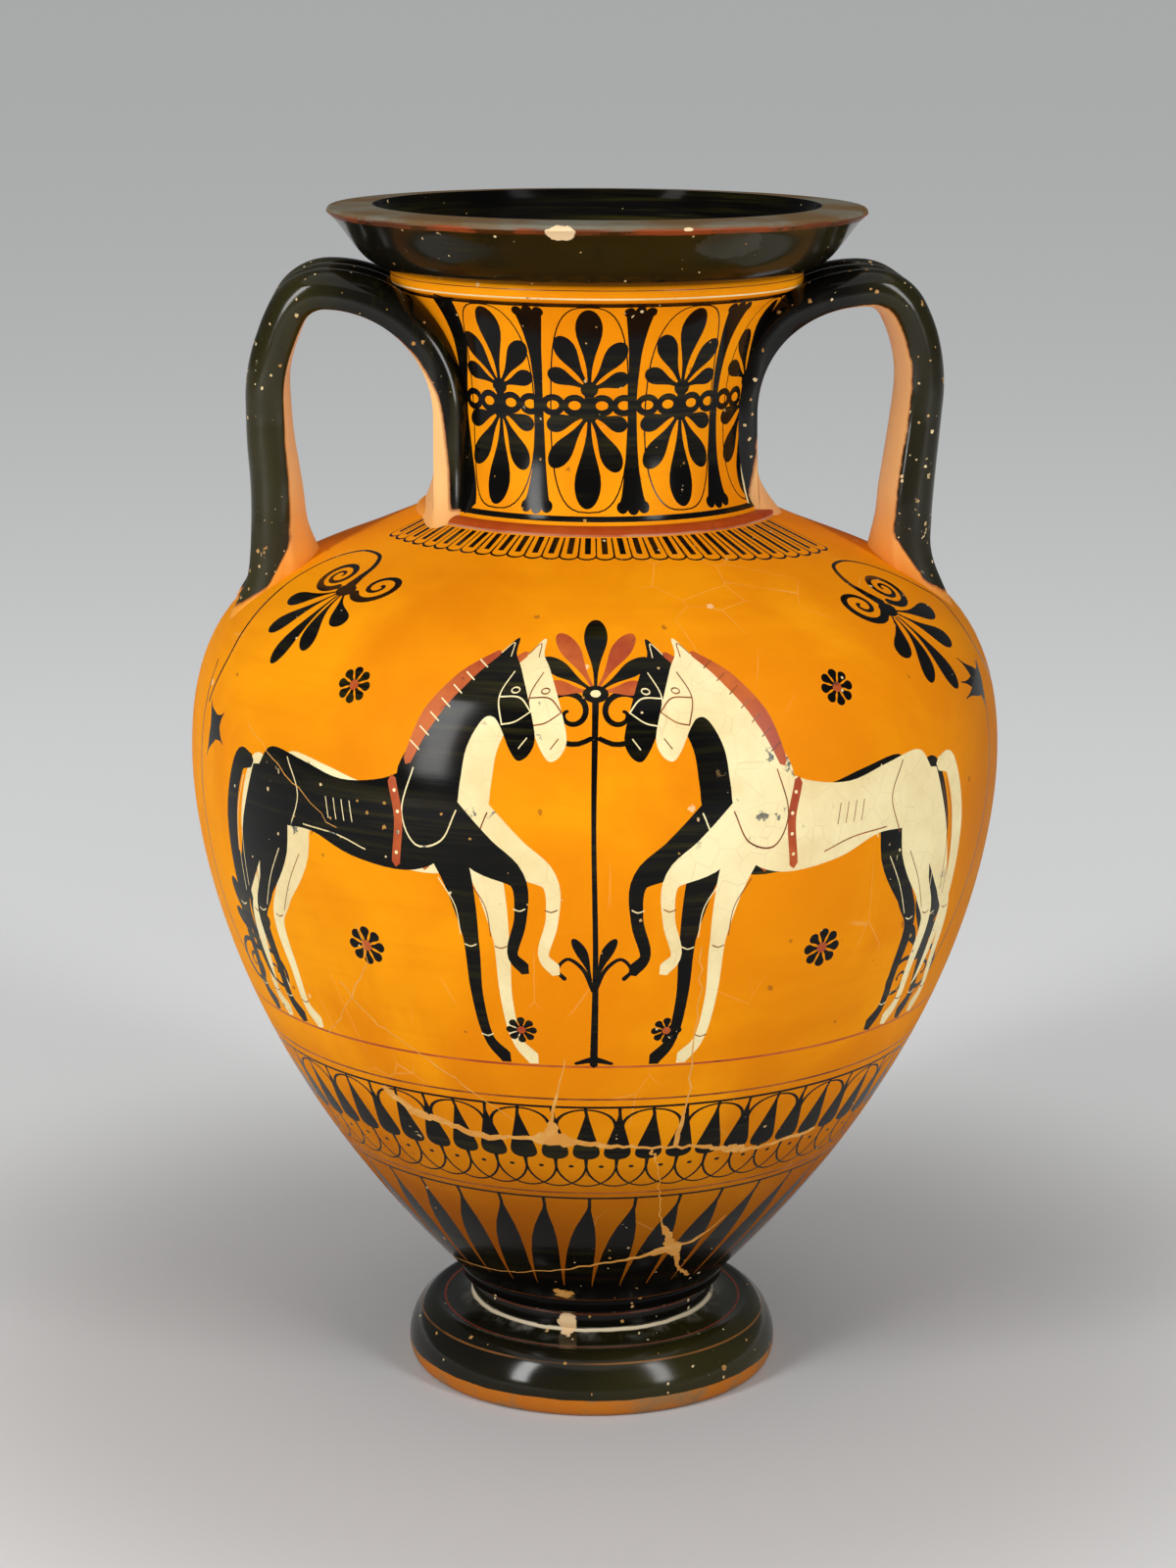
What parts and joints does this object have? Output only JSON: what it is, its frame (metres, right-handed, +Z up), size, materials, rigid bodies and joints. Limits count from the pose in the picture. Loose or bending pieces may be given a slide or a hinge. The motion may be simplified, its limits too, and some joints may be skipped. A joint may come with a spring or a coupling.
{
  "type": "neck amphora",
  "caption": "Fired clay storage jar with a swelling body, a narrow neck, a flared mouth, a rolled foot and upright strap handles from neck to shoulder.",
  "frame": {"origin": "centre of the ring that the foot rests on, at the ground", "axes": "+Z up along the axis that the jar is turned about, handles towards +X and -X"},
  "size_m": [0.286, 0.286, 0.4206],
  "materials": {
    "painted_clay": "burnished orange clay painted with glossy black slip",
    "black_slip": "glossy black slip, brushed on, worn at the edges",
    "red_slip": "matt dark red slip",
    "foot_joint_clay": "glossy black slip over a roll of clay"
  },
  "bodies": {
    "root": {"foot": "black_slip", "foot_ring": "foot_joint_clay", "body": "painted_clay", "collar": "red_slip", "neck": "painted_clay", "mouth": "black_slip", "handle_right": "black_slip", "handle_left": "black_slip"}
  },
  "joints": []
}
